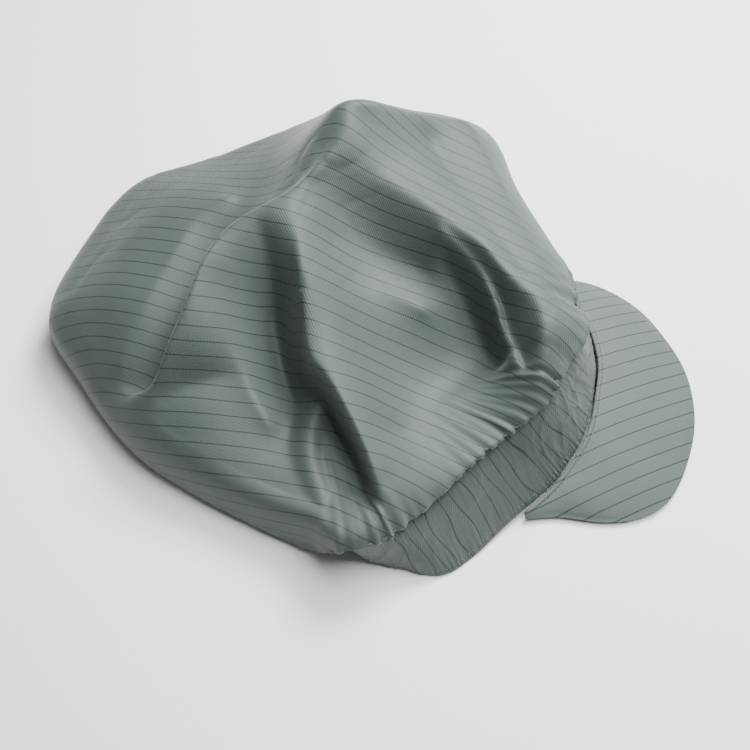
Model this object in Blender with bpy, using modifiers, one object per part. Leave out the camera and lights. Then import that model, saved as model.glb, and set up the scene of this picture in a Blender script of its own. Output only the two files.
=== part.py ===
# Antistatic peaked cap lying on a surface, in metres, +Z up, peak toward -Y.
# The cloth pieces are built in their lying shape: a baggy crown gathered into
# a headband, and a stiff cloth covered peak sewn to the front of the band.

import bpy
import bmesh
import numpy as np

# main sizes
cap_half_width = 0.170
cap_half_length = 0.180
crown_height = 0.110
ring_half_width = 0.080
ring_half_length = 0.110
band_height = 0.050
peak_half_width = 0.094
peak_reach = 0.150

# walls and gaps
crown_wall = 0.0012
band_wall = 0.0022
peak_wall = 0.0026
seam_gap = 0.0003
peak_stand_off = 0.0008
rim_lift = 0.0018
rest_sink = 0.0020
rest_fade = 0.0060

# middles of the pieces, seen from above, while the tables below are read
ring_center_x = -0.070
ring_center_y = -0.035
pole_x = 0.020
pole_y = 0.040
pole_rise = 0.80
peak_center_x = -0.057
peak_root_y = -0.058

# middle of the whole cap, which becomes the origin
cap_center_x = 0.0141
cap_center_y = 0.0041

# mesh density, and the share of the crown's faces that is kept
stations_around = 96
band_rings = 3
peak_stations = 30
peak_rings = 7
crown_kept = 0.37
seam_rings_kept = 1

# how soft the turn from the gentle to the steep side of a fold is, how much of
# a fold is left at its two ends, and how far above the edge of the bag the
# folds reach their full size
fold_turn = 0.05
fold_end_share = 0.35
fold_free_share = 0.16
crest_points = 61

# headband stations, once around from the middle of the peak by way of the near
# side; x and y are shares of the ring half sizes from the ring centre, z is a
# share of the band height
ring_columns = ("top_x", "top_y", "top_z", "rim_x", "rim_y", "rim_z")
ring_rows = (
    (0.25, -0.82, 1.40, 0.37, -1.02, 0.52),
    (0.01, -0.62, 1.32, 0.03, -0.92, 0.46),
    (-0.12, -0.51, 1.20, -0.27, -0.79, 0.36),
    (-0.21, -0.37, 1.04, -0.47, -0.63, 0.24),
    (-0.27, -0.21, 0.90, -0.61, -0.48, 0.16),
    (-0.40, -0.01, 0.84, -0.79, -0.20, 0.08),
    (-0.60, 0.28, 0.76, -1.00, 0.10, 0.00),
    (-0.75, 0.48, 0.76, -1.07, 0.30, 0.00),
    (-0.82, 0.61, 0.80, -0.95, 0.49, 0.00),
    (-0.79, 0.81, 0.74, -0.74, 0.72, 0.00),
    (-0.42, 0.87, 0.76, -0.33, 0.79, 0.06),
    (0.05, 0.88, 0.84, 0.12, 0.82, 0.10),
    (0.42, 0.74, 0.92, 0.46, 0.68, 0.14),
    (0.74, 0.43, 1.04, 0.71, 0.36, 0.20),
    (0.95, 0.04, 1.16, 0.92, 0.01, 0.28),
    (1.04, -0.35, 1.28, 1.04, -0.42, 0.36),
    (0.96, -0.71, 1.40, 1.03, -0.80, 0.48),
    (0.60, -0.85, 1.44, 0.83, -1.02, 0.52),
)

# crown stations, each from its place on the band, in turns, by way of the
# underside over the outermost edge of the bag to its top; x and y are shares of
# the cap half sizes, every z is a share of the crown height
crown_columns = ("turn", "edge_x", "edge_y", "low_z", "edge_z", "lip_z", "shoulder_z", "brow_z")
crown_rows = (
    (0.000, -0.28, -0.72, 0.69, 0.71, 0.78, 0.70, 0.78),
    (0.056, -0.41, -0.58, 0.64, 0.67, 0.67, 0.58, 0.70),
    (0.111, -0.48, -0.52, 0.58, 0.61, 0.61, 0.54, 0.67),
    (0.167, -0.52, -0.42, 0.50, 0.53, 0.55, 0.53, 0.66),
    (0.222, -0.55, -0.33, 0.44, 0.46, 0.50, 0.53, 0.66),
    (0.278, -0.61, -0.20, 0.41, 0.44, 0.48, 0.54, 0.66),
    (0.333, -0.71, -0.03, 0.37, 0.40, 0.46, 0.57, 0.67),
    (0.389, -0.78, 0.11, 0.37, 0.40, 0.47, 0.60, 0.68),
    (0.444, -0.81, 0.19, 0.38, 0.40, 0.48, 0.62, 0.68),
    (0.500, -0.80, 0.33, 0.34, 0.36, 0.50, 0.60, 0.67),
    (0.525, -0.70, 0.42, 0.10, 0.12, 0.46, 0.56, 0.66),
    (0.556, -0.57, 0.57, 0.03, 0.10, 0.42, 0.54, 0.65),
    (0.589, -0.36, 0.79, 0.00, 0.11, 0.38, 0.60, 0.70),
    (0.622, -0.13, 0.98, 0.00, 0.13, 0.40, 0.68, 0.76),
    (0.656, 0.20, 1.12, 0.00, 0.16, 0.42, 0.73, 0.78),
    (0.689, 0.52, 1.20, 0.00, 0.21, 0.44, 0.74, 0.80),
    (0.722, 0.82, 1.02, 0.00, 0.28, 0.48, 0.76, 0.82),
    (0.750, 1.03, 0.76, 0.00, 0.40, 0.58, 0.82, 0.84),
    (0.778, 1.07, 0.40, 0.00, 0.44, 0.62, 0.84, 0.87),
    (0.806, 1.08, 0.03, 0.00, 0.54, 0.74, 0.90, 0.89),
    (0.831, 1.04, -0.34, 0.00, 0.57, 0.78, 0.91, 0.88),
    (0.853, 0.88, -0.71, 0.15, 0.45, 0.72, 0.86, 0.86),
    (0.875, 0.52, -0.74, 0.34, 0.48, 0.70, 0.82, 0.84),
    (0.900, 0.22, -0.76, 0.54, 0.58, 0.70, 0.78, 0.82),
    (0.928, 0.01, -0.76, 0.66, 0.66, 0.73, 0.76, 0.81),
    (0.961, -0.14, -0.73, 0.68, 0.69, 0.75, 0.72, 0.79),
)

# the levels of a crown station: how far each has come, as a share of the way
# from the band to the edge or of the way from the edge to the pole, and the
# rings of the mesh up to it
level_columns = ("height", "side", "share", "rings")
crown_levels = (
    ("seam", "under", 0.00, 0),
    ("low_z", "under", 0.32, 3),
    ("low_z", "under", 0.80, 4),
    ("edge_z", "over", 0.00, 2),
    ("lip_z", "over", 0.12, 3),
    ("shoulder_z", "over", 0.38, 14),
    ("brow_z", "over", 0.72, 14),
    ("pole", "over", 1.00, 8),
)
edge_level = 3

# folds of the crown: x and y of four points along each crest as shares of the
# cap half sizes; its rise, the width of its gentle left side and of its steep
# right side and the lean that tips it to the right as shares of the crown height
fold_columns = ("x1", "y1", "x2", "y2", "x3", "y3", "x4", "y4", "rise", "gentle", "steep", "lean")
fold_rows = {
    "top_ridge": (1.16, -0.16, 0.92, -0.12, 0.74, -0.06, 0.60, 0.00, 0.12, 0.20, 0.18, 0.00),
    "front_ridge": (0.84, -0.12, 0.57, -0.14, 0.19, -0.38, -0.22, -0.56, 0.20, 0.28, 0.15, 0.04),
    "front_pleat": (-0.06, -0.50, -0.20, -0.56, -0.36, -0.52, -0.48, -0.46, 0.12, 0.12, 0.10, 0.00),
    "front_valley": (0.60, 0.06, 0.20, -0.16, -0.05, -0.32, -0.30, -0.42, -0.12, 0.22, 0.26, 0.00),
    "long_ridge": (0.80, -0.10, 0.50, 0.14, 0.28, 0.46, -0.12, 0.76, 0.22, 0.24, 0.14, 0.08),
    "long_valley": (0.80, 0.26, 0.58, 0.46, 0.42, 0.70, 0.10, 0.92, -0.08, 0.16, 0.24, 0.00),
    "side_ridge": (0.46, 0.32, 0.18, 0.22, -0.20, 0.22, -0.74, 0.12, 0.20, 0.26, 0.12, 0.06),
    "side_valley": (0.34, 0.40, 0.10, 0.42, -0.14, 0.44, -0.36, 0.48, -0.14, 0.14, 0.18, 0.00),
    "panel_scoop": (0.30, 0.02, 0.00, -0.06, -0.26, -0.14, -0.44, -0.20, -0.10, 0.40, 0.40, 0.00),
    "far_ridge": (0.90, -0.60, 0.62, -0.64, 0.30, -0.62, -0.02, -0.64, 0.08, 0.16, 0.14, 0.00),
}

# outer edge of the peak from its near corner to its far one; x is a share of
# the peak half width from its middle, y of its reach forward of the corners
# and z of the band height
peak_columns = ("x", "y", "z")
peak_rows = (
    (-0.80, 0.06, 0.08),
    (-0.84, 0.20, 0.07),
    (-0.95, 0.37, 0.07),
    (-0.99, 0.52, 0.07),
    (-0.94, 0.67, 0.08),
    (-0.75, 0.81, 0.10),
    (-0.44, 0.94, 0.15),
    (-0.08, 1.00, 0.20),
    (0.26, 0.98, 0.23),
    (0.58, 0.91, 0.25),
    (0.84, 0.77, 0.26),
    (0.97, 0.60, 0.27),
    (0.98, 0.45, 0.28),
    (0.88, 0.32, 0.30),
)

# the rows of the headband between which the peak is sewn on, and the small
# step that gives the direction of that line
peak_near_row = 4.7
peak_far_row = -3.6
line_step = 0.002

crown_color = (0.23, 0.28, 0.27)
band_color = (0.21, 0.26, 0.25)
peak_color = (0.30, 0.35, 0.34)
cloth_roughness = 0.55


def column(rows, columns, name):
    place = columns.index(name)
    return np.array([row[place] for row in rows])


def blend(before, start, end, after, step):
    """Smooth step from start to end that leans on the values around them."""
    return 0.5 * (
        2 * start
        + (end - before) * step
        + (2 * before - 5 * start + 4 * end - after) * step ** 2
        + (3 * start - before - 3 * end + after) * step ** 3
    )


def closed_curve(values, at):
    """Smooth closed curve through the values, read at fractions of one turn."""
    count = len(values)
    spot = (np.asarray(at) % 1.0) * count
    first = np.floor(spot).astype(int)
    step = (spot - first).reshape((-1,) + (1,) * (values.ndim - 1))
    around = [values[(first + shift) % count] for shift in (-1, 0, 1, 2)]
    return blend(*around, step)


def open_curve(values, at):
    """Smooth curve through the values, read at fractions of its way."""
    values = np.asarray(values)
    lead = 2 * values[:1] - values[1:2]
    end = 2 * values[-1:] - values[-2:-1]
    padded = np.concatenate([lead, values, end])
    spot = np.clip(at, 0.0, 1.0) * (len(values) - 1)
    first = np.minimum(np.floor(spot).astype(int), len(values) - 2)
    step = (spot - first).reshape((-1,) + (1,) * (values.ndim - 1))
    around = [padded[first + shift] for shift in range(4)]
    return blend(*around, step)


def ring_points(which, at):
    """The top or the rim of the headband at fractions of one turn."""
    x = ring_center_x + ring_half_width * column(ring_rows, ring_columns, which + "_x")
    y = ring_center_y + ring_half_length * column(ring_rows, ring_columns, which + "_y")
    z = rim_lift + band_height * column(ring_rows, ring_columns, which + "_z")
    return closed_curve(np.stack([x, y, z], axis=1), at)


def crown_column(name, at):
    return closed_curve(column(crown_rows, crown_columns, name), at)


def stations():
    """The crown's stations, as fractions of its rows, and their places on the band."""
    at = np.arange(stations_around) / stations_around
    turns = column(crown_rows, crown_columns, "turn")
    lag = closed_curve(turns - np.arange(len(turns)) / len(turns), at)
    return at, at + lag


def crown_level_points():
    """The levels of every crown station, from the band to the pole."""
    at, place = stations()
    seam = ring_points("top", place)
    edge_x = cap_half_width * crown_column("edge_x", at)
    edge_y = cap_half_length * crown_column("edge_y", at)
    edge = np.column_stack([edge_x, edge_y])
    pole = np.array([pole_x, pole_y])
    levels = []
    for name, side, share, rings in crown_levels:
        if side == "under":
            plan = seam[:, :2] + share * (edge - seam[:, :2])
        else:
            plan = edge + share * (pole - edge)
        if name == "seam":
            height = seam[:, 2] + seam_gap
        elif name == "pole":
            height = np.full(len(at), crown_height * pole_rise)
        else:
            height = crown_height * crown_column(name, at)
        levels.append(np.column_stack([plan, height]))
    return np.stack(levels)


def fold_crest(fold):
    """Points along the crest of a fold, seen from above."""
    marks = []
    for k in (1, 2, 3, 4):
        x = cap_half_width * fold["x%d" % k]
        y = cap_half_length * fold["y%d" % k]
        marks.append((x, y))
    return open_curve(marks, np.linspace(0.0, 1.0, crest_points))


def add_folds(points, hold):
    """Raise and tip the crest of every fold, as far as each point may move."""
    plan = points[..., :2]
    lift = np.zeros(points.shape[:-1])
    shift = np.zeros(plan.shape)
    for row in fold_rows.values():
        fold = dict(zip(fold_columns, row))
        crest = fold_crest(fold)
        run = np.gradient(crest, axis=0)
        run /= np.linalg.norm(run, axis=1, keepdims=True)
        right = np.stack([run[:, 1], -run[:, 0]], axis=1)
        away = plan[..., None, :] - crest
        nearest = (away ** 2).sum(-1).argmin(-1)
        away = np.take_along_axis(away, nearest[..., None, None], axis=-2)[..., 0, :]
        right = right[nearest]
        steepness = 0.5 + 0.5 * np.tanh((away * right).sum(-1) / (fold_turn * crown_height))
        width = crown_height * (fold["gentle"] + (fold["steep"] - fold["gentle"]) * steepness)
        along = nearest / (crest_points - 1)
        fade = np.minimum(4 * along * (1 - along) + fold_end_share, 1.0)
        swell = fade * np.exp(-(away ** 2).sum(-1) / width ** 2)
        lift += fold["rise"] * crown_height * swell
        shift += fold["lean"] * crown_height * swell[..., None] * right
    moved = points.copy()
    moved[..., 2] += lift * hold
    moved[..., :2] += shift * hold[..., None]
    return moved


def crown_grid():
    """Rings of points from the band to the pole, flat where the bag rests."""
    last = len(crown_levels) - 1
    way = [0.0]
    for k, level in enumerate(crown_levels[1:]):
        rings = level[level_columns.index("rings")]
        way.extend((k + (step + 1) / rings) / last for step in range(rings))
    way = np.array(way)
    grid = open_curve(crown_level_points(), way)
    free = np.clip((way - edge_level / last) / fold_free_share, 0.0, 1.0)
    grid = add_folds(grid, free[:, None] * np.ones(stations_around))
    height = grid[..., 2]
    grid[..., 2] = np.maximum(height - rest_sink * np.exp(-height / rest_fade), 0.0)
    return grid


def band_grid():
    """Rings of points from the rim of the headband to its top."""
    rim = ring_points("rim", stations()[1])
    top = ring_points("top", stations()[1])
    share = np.linspace(0.0, 1.0, band_rings + 1)[:, None, None]
    return rim + share * (top - rim)


def sewn_line(outer):
    """The line just outside the band's rim where the peak is sewn on."""
    rows = np.linspace(peak_near_row, peak_far_row, peak_stations)
    at = rows / len(ring_rows)
    line = ring_points("rim", at)
    line[:, 2] = np.maximum(line[:, 2] + 0.5 * peak_wall, peak_wall)
    run = ring_points("rim", at + line_step) - ring_points("rim", at - line_step)
    outward = np.stack([-run[:, 1], run[:, 0]], axis=1)
    outward /= np.linalg.norm(outward, axis=1, keepdims=True)
    upward = np.cross(outer - line, run)
    upward /= np.linalg.norm(upward, axis=1, keepdims=True)
    upward *= np.sign(upward[:, 2:])
    lean = np.maximum((upward[:, :2] * outward).sum(axis=1, keepdims=True), 0.0)
    line[:, :2] += (peak_stand_off + lean * peak_wall) * outward
    return line


def peak_grid():
    """Rows of points from the sewn line to the outer edge of the peak."""
    x = peak_center_x + peak_half_width * column(peak_rows, peak_columns, "x")
    y = peak_root_y - peak_reach * column(peak_rows, peak_columns, "y")
    z = band_height * column(peak_rows, peak_columns, "z")
    marks = np.column_stack([x, y, np.maximum(z, peak_wall)])
    outer = open_curve(marks, np.linspace(0.0, 1.0, peak_stations))
    inner = sewn_line(outer)
    share = np.linspace(0.0, 1.0, peak_rings + 1)[:, None, None]
    return inner + share * (outer - inner)


def loft(grid, around, tip):
    """Faces between the rows of a grid, closed around or drawn to a tip if asked."""
    mesh = bmesh.new()
    rows = grid[:-1] if tip else grid
    layers = [[mesh.verts.new(point) for point in row] for row in rows]
    if around:
        layers = [layer + layer[:1] for layer in layers]
    for low, high in zip(layers[:-1], layers[1:]):
        for a, b, c, d in zip(low[1:], low[:-1], high[:-1], high[1:]):
            mesh.faces.new((a, b, c, d))
    if tip:
        point = mesh.verts.new(grid[-1].mean(axis=0))
        for a, b in zip(layers[-1][1:], layers[-1][:-1]):
            mesh.faces.new((a, b, point))
    bmesh.ops.triangulate(mesh, faces=mesh.faces, quad_method="SHORT_EDGE")
    return mesh


def cloth_material(name, color):
    material = bpy.data.materials.new(name)
    material.use_nodes = True
    shader = material.node_tree.nodes["Principled BSDF"]
    shader.inputs["Base Color"].default_value = (*color, 1.0)
    shader.inputs["Roughness"].default_value = cloth_roughness
    shader.inputs["Metallic"].default_value = 0.0
    return material


def add_piece(name, mesh, color):
    data = bpy.data.meshes.new(name)
    mesh.to_mesh(data)
    mesh.free()
    data.shade_smooth()
    data.materials.append(cloth_material(name + "_cloth", color))
    piece = bpy.data.objects.new(name, data)
    piece.location = (-cap_center_x, -cap_center_y, 0.0)
    collection.objects.link(piece)
    return piece


def thin_out(piece, kept):
    """Leave out faces where the cloth is smooth, but not beside the band."""
    free = piece.vertex_groups.new(name="free cloth")
    first = seam_rings_kept * stations_around
    free.add(range(first, len(piece.data.vertices)), 1.0, "REPLACE")
    fewer = piece.modifiers.new("fewer faces", "DECIMATE")
    fewer.ratio = kept
    fewer.vertex_group = free.name


def add_wall(piece, thickness):
    wall = piece.modifiers.new("wall", "SOLIDIFY")
    wall.thickness = thickness
    wall.offset = -1.0


for old in list(bpy.data.objects):
    bpy.data.objects.remove(old, do_unlink=True)

collection = bpy.data.collections.new("antistatic_peaked_cap")
bpy.context.scene.collection.children.link(collection)

# the bag of the cap, gathered into the band
crown = add_piece("crown", loft(crown_grid(), around=True, tip=True), crown_color)
thin_out(crown, crown_kept)
add_wall(crown, crown_wall)

# the double strip round the head
headband = add_piece("headband", loft(band_grid(), around=True, tip=False), band_color)
add_wall(headband, band_wall)

# the stiff peak
peak = add_piece("peak", loft(peak_grid(), around=False, tip=False), peak_color)
add_wall(peak, peak_wall)
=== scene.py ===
import math
import bpy
import bmesh
import numpy as np
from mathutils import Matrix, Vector
from mathutils.bvhtree import BVHTree


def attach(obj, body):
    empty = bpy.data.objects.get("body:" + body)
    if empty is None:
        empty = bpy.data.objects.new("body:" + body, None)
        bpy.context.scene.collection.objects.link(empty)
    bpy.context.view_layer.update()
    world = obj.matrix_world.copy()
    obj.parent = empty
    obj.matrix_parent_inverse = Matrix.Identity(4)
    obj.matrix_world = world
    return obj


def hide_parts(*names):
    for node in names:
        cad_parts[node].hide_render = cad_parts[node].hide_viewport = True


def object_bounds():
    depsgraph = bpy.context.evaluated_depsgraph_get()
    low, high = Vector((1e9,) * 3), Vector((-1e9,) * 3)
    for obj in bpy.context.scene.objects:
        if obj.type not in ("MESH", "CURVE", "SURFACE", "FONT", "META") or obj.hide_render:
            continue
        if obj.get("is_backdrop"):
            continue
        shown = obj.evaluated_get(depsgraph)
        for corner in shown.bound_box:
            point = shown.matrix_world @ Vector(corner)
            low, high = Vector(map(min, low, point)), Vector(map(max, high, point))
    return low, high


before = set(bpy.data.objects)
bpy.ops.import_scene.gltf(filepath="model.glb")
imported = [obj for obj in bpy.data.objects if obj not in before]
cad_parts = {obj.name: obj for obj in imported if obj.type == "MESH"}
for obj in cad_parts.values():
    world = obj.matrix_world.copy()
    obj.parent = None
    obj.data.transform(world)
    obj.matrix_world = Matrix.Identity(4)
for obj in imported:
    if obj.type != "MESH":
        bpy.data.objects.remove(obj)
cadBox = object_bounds()
mm = 0.001
rest = (0.0141, 0.0041)  # middle of the cap in the tables' own plan, which becomes the origin
print("frame loaded:", sorted(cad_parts))


# small maths

def readColumn(table, name):
    place = table["columns"].index(name)
    return np.array([row[place] for row in table["rows"]], float)


def blendFour(before, start, end, after, step):
    return 0.5 * (
        2 * start
        + (end - before) * step
        + (2 * before - 5 * start + 4 * end - after) * step ** 2
        + (3 * start - before - 3 * end + after) * step ** 3
    )


def closedCurve(values, at):
    spot = (np.asarray(at) % 1.0) * len(values)
    first = np.floor(spot).astype(int)
    step = (spot - first).reshape((-1,) + (1,) * (values.ndim - 1))
    return blendFour(*[values[(first + shift) % len(values)] for shift in (-1, 0, 1, 2)], step)


def openCurve(values, at):
    values = np.asarray(values, float)
    padded = np.concatenate([2 * values[:1] - values[1:2], values, 2 * values[-1:] - values[-2:-1]])
    spot = np.clip(at, 0.0, 1.0) * (len(values) - 1)
    first = np.minimum(np.floor(spot).astype(int), len(values) - 2)
    step = (spot - first).reshape((-1,) + (1,) * (values.ndim - 1))
    return blendFour(*[padded[first + shift] for shift in range(4)], step)


def unit(vectors):
    return vectors / np.maximum(np.linalg.norm(vectors, axis=-1, keepdims=True), 1e-12)


def softNoise(points, size, seed, waves=36):
    # smooth random field of about unit size, made of plane waves about one size long
    random = np.random.default_rng(seed)
    heading = unit(random.normal(size=(waves, points.shape[-1])))
    pitch = 2 * math.pi / (size * random.uniform(0.7, 1.7, waves))
    phase = random.uniform(0, 2 * math.pi, waves)
    total = np.zeros(points.shape[:-1])
    for k in range(waves):
        total += np.sin(points @ heading[k] * pitch[k] + phase[k])
    return total * math.sqrt(2.0 / waves)


def ringNoise(turn, waves, seed):
    # random field round a closed ring, with from waves[0] to waves[1] humps in the whole turn
    random = np.random.default_rng(seed)
    counts = np.arange(waves[0], waves[1] + 1)
    total = np.zeros(np.shape(turn))
    for count in counts:
        total += random.normal() * np.cos(2 * math.pi * (count * turn + random.uniform()))
    return total / math.sqrt(0.5 * len(counts))


def smoothStep(low, high, value):
    share = np.clip((value - low) / (high - low), 0.0, 1.0)
    return share * share * (3 - 2 * share)


# the headband's line, shared by all three pieces

ring = {
    "center": (-0.070, -0.035),
    "halfWidth": 0.080,
    "halfLength": 0.110,
    "bandHeight": 0.050,
    "rimLift": 0.0018,
    "columns": ("topX", "topY", "topZ", "rimX", "rimY", "rimZ"),
    "rows": (
        (0.25, -0.82, 1.40, 0.37, -1.02, 0.52),
        (0.01, -0.62, 1.32, 0.03, -0.92, 0.46),
        (-0.12, -0.51, 1.20, -0.27, -0.79, 0.36),
        (-0.21, -0.37, 1.04, -0.47, -0.63, 0.24),
        (-0.27, -0.21, 0.90, -0.61, -0.48, 0.16),
        (-0.40, -0.01, 0.84, -0.79, -0.20, 0.08),
        (-0.60, 0.28, 0.76, -1.00, 0.10, 0.00),
        (-0.75, 0.48, 0.76, -1.07, 0.30, 0.00),
        (-0.82, 0.61, 0.80, -0.95, 0.49, 0.00),
        (-0.79, 0.81, 0.74, -0.74, 0.72, 0.00),
        (-0.42, 0.87, 0.76, -0.33, 0.79, 0.06),
        (0.05, 0.88, 0.84, 0.12, 0.82, 0.10),
        (0.42, 0.74, 0.92, 0.46, 0.68, 0.14),
        (0.74, 0.43, 1.04, 0.71, 0.36, 0.20),
        (0.95, 0.04, 1.16, 0.92, 0.01, 0.28),
        (1.04, -0.35, 1.28, 1.04, -0.42, 0.36),
        (0.96, -0.71, 1.40, 1.03, -0.80, 0.48),
        (0.60, -0.85, 1.44, 0.83, -1.02, 0.52),
    ),
}


def ringPoints(which, at):
    x = ring["center"][0] - rest[0] + ring["halfWidth"] * readColumn(ring, which + "X")
    y = ring["center"][1] - rest[1] + ring["halfLength"] * readColumn(ring, which + "Y")
    z = ring["rimLift"] + ring["bandHeight"] * readColumn(ring, which + "Z")
    return closedCurve(np.stack([x, y, z], axis=1), at)


# mesh helpers

def newObject(name, points, faces, threads=None):
    mesh = bpy.data.meshes.new(name)
    mesh.from_pydata([tuple(p) for p in np.asarray(points, float)], [], faces)
    if threads is not None:
        layer = mesh.uv_layers.new(name="threads")
        layer.data.foreach_set("uv", np.asarray(threads, np.float32).ravel())
    mesh.shade_smooth()
    mesh.update()
    thing = bpy.data.objects.new(name, mesh)
    bpy.context.scene.collection.objects.link(thing)
    return thing


def gridFaces(rows, columns, around, flip=False):
    # quads of a grid of points; the list of corner numbers is also what threads are read by
    last = columns if around else columns - 1
    faces = []
    for j in range(rows - 1):
        for i in range(last):
            k = (i + 1) % columns
            quad = (j * columns + i, j * columns + k, (j + 1) * columns + k, (j + 1) * columns + i)
            faces.append(quad[::-1] if flip else quad)
    return faces


def gridNormals(grid, around):
    if around:
        along = np.roll(grid, -1, axis=1) - np.roll(grid, 1, axis=1)
    else:
        along = np.gradient(grid, axis=1)
    return unit(np.cross(along, np.gradient(grid, axis=0)))


def lengthFromSeam(grid):
    steps = np.linalg.norm(np.diff(grid, axis=0), axis=2)
    return np.concatenate([np.zeros((1, grid.shape[1])), np.cumsum(steps, axis=0)])


def addModifier(thing, name, kind, **settings):
    modifier = thing.modifiers.new(name, kind)
    for key, value in settings.items():
        setattr(modifier, key, value)


def conjugateGradient(spread, goal, diagonal, found, turns, close):
    left = goal - spread(found)
    scaled = left / diagonal
    heading = scaled.copy()
    amount = np.vdot(left, scaled).real
    for turn in range(turns):
        moved = spread(heading)
        share = amount / np.vdot(heading, moved).real
        found = found + share * heading
        left = left - share * moved
        if np.abs(left).max() < close:
            break
        scaled = left / diagonal
        fresh = np.vdot(left, scaled).real
        heading = scaled + (fresh / amount) * heading
        amount = fresh
    return found


def gridEdges(grid, hold):
    # edges of a ring shaped grid: where they start and end, and how much cloth each stands for,
    # times how firmly the threads keep their pitch there
    rows, columns = grid.shape[:2]
    number = np.arange(rows * columns).reshape(rows, columns)
    starts = np.concatenate([number.ravel(), number[:-1].ravel()])
    ends = np.concatenate([np.roll(number, -1, axis=1).ravel(), number[1:].ravel()])
    points = grid.reshape(-1, 3)
    edge = points[ends] - points[starts]
    length = np.linalg.norm(edge, axis=1) + 0.05 * mm
    down = np.linalg.norm(np.gradient(grid, axis=0), axis=2).ravel()
    across = np.linalg.norm(np.roll(grid, -1, axis=1) - grid, axis=2).ravel()
    other = np.where(np.arange(len(starts)) < rows * columns, down[starts], across[starts])
    weight = (other + 0.05 * mm) / length
    return starts, ends, edge, weight * 0.5 * (hold.ravel()[starts] + hold.ravel()[ends])


def totals(index, values, count):
    if np.iscomplexobj(values):
        return np.bincount(index, values.real, count) + 1j * np.bincount(index, values.imag, count)
    return np.bincount(index, values, count)


def coarsePicks(rows, columns, step):
    return np.unique(np.append(np.arange(0, rows, step), rows - 1)), np.arange(0, columns, step)


def refine(rough, picks, rows, columns):
    at = np.interp(np.arange(rows), picks, np.linspace(0, 1, len(picks)))
    tall = openCurve(rough, at)
    wide = closedCurve(np.swapaxes(tall, 0, 1), np.arange(columns) / columns)
    return np.swapaxes(wide, 0, 1)


def surfaceSlope(grid, values):
    # slope of a value over the surface, as vectors in the surface
    along = 0.5 * (np.roll(grid, -1, axis=1) - np.roll(grid, 1, axis=1))
    inward = np.gradient(grid, axis=0)
    alongStep = 0.5 * (np.roll(values, -1, axis=1) - np.roll(values, 1, axis=1))
    inwardStep = np.gradient(values, axis=0)
    aa, ai, ii = (along * along).sum(-1), (along * inward).sum(-1), (inward * inward).sum(-1)
    spread = np.maximum(aa * ii - ai * ai, 1e-16)
    first = (alongStep * ii - inwardStep * ai) / spread
    second = (inwardStep * aa - alongStep * ai) / spread
    return first[..., None] * along + second[..., None] * inward


def solveThreads(grid, toward, hold, step=5, rounds=5):
    # cloth coordinate whose slope follows the field toward, by least squares over the grid's
    # edges, first on a coarse grid and then on the fine one; the later rounds even out its
    # slope, because a woven thread pitch stays the same
    rows, columns = grid.shape[:2]
    found = np.zeros(rows * columns)
    if step > 1:
        picks, turns = coarsePicks(rows, columns, step)
        coarse = np.ix_(picks, turns)
        rough = solveThreads(grid[coarse], toward[coarse], hold[coarse], 1, 12)
        found = refine(rough, picks, rows, columns).ravel()
    starts, ends, edge, weight = gridEdges(grid, hold)
    total = rows * columns
    diagonal = totals(ends, weight, total) + totals(starts, weight, total)

    def spread(values):
        flow = weight * (values[ends] - values[starts])
        return totals(ends, flow, total) - totals(starts, flow, total)

    field = toward.reshape(-1, 3)
    if step > 1:
        field = unit(surfaceSlope(grid, found.reshape(rows, columns)).reshape(-1, 3) + 0.3 * field)
    for turn in range(rounds):
        wanted = weight * 0.5 * ((field[starts] + field[ends]) * edge).sum(1)
        goal = totals(ends, wanted, total) - totals(starts, wanted, total)
        found = conjugateGradient(spread, goal, diagonal, found, 250, 1e-8)
        slope = surfaceSlope(grid, found.reshape(rows, columns)).reshape(-1, 3)
        field = unit(slope + 0.1 * toward.reshape(-1, 3))
    size = np.linalg.norm(slope, axis=1)
    print("threads: slope %.2f, from %.2f to %.2f" % (size.mean(), *np.percentile(size, (10, 90))))
    return (found - found.mean()).reshape(rows, columns)


def carryDirections(grid, normals, spots, aims, hold, step=5):
    # unit directions in the surface that pass through the aims at the spots and turn as
    # little as they can in between, carried over the folds as a woven thread is
    rows, columns = grid.shape[:2]
    total = rows * columns
    east = np.roll(grid, -1, axis=1) - np.roll(grid, 1, axis=1)
    east = unit(east - (east * normals).sum(-1, keepdims=True) * normals).reshape(-1, 3)
    north = np.cross(normals.reshape(-1, 3), east)
    points = grid.reshape(-1, 3)
    if step > 1:
        picks, turns = coarsePicks(rows, columns, step)
        coarse = np.ix_(picks, turns)
        rough = carryDirections(grid[coarse], normals[coarse], spots, aims, hold[coarse], 1)
        guess = refine(rough, picks, rows, columns).reshape(-1, 3)
        found = (guess * east).sum(1) + 1j * (guess * north).sum(1)
    else:
        found = np.zeros(total, complex)
    starts, ends, edge, weight = gridEdges(grid, hold)
    before = (edge * east[starts]).sum(1) + 1j * (edge * north[starts]).sum(1)
    after = (edge * east[ends]).sum(1) + 1j * (edge * north[ends]).sum(1)
    turn = after * before.conj()
    turn = turn / np.maximum(np.abs(turn), 1e-15)
    nearest = np.array([((points - spot) ** 2).sum(1).argmin() for spot in spots])
    pull = totals(nearest, np.full(len(nearest), weave["pull"]), total)
    aim = (aims * east[nearest]).sum(1) + 1j * (aims * north[nearest]).sum(1)
    aim = aim / np.maximum(np.abs(aim), 1e-9)

    def spread(values):
        flow = weight * (values[ends] - turn * values[starts])
        return totals(ends, flow, total) - totals(starts, turn.conj() * flow, total) + pull * values

    goal = totals(nearest, weave["pull"] * aim, total)
    diagonal = totals(ends, weight, total) + totals(starts, weight, total) + pull
    found = conjugateGradient(spread, goal, diagonal, found, 500, 1e-6)
    found = found / np.maximum(np.abs(found), 1e-9)
    return (found.real[:, None] * east + found.imag[:, None] * north).reshape(rows, columns, 3)


# crown

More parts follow.
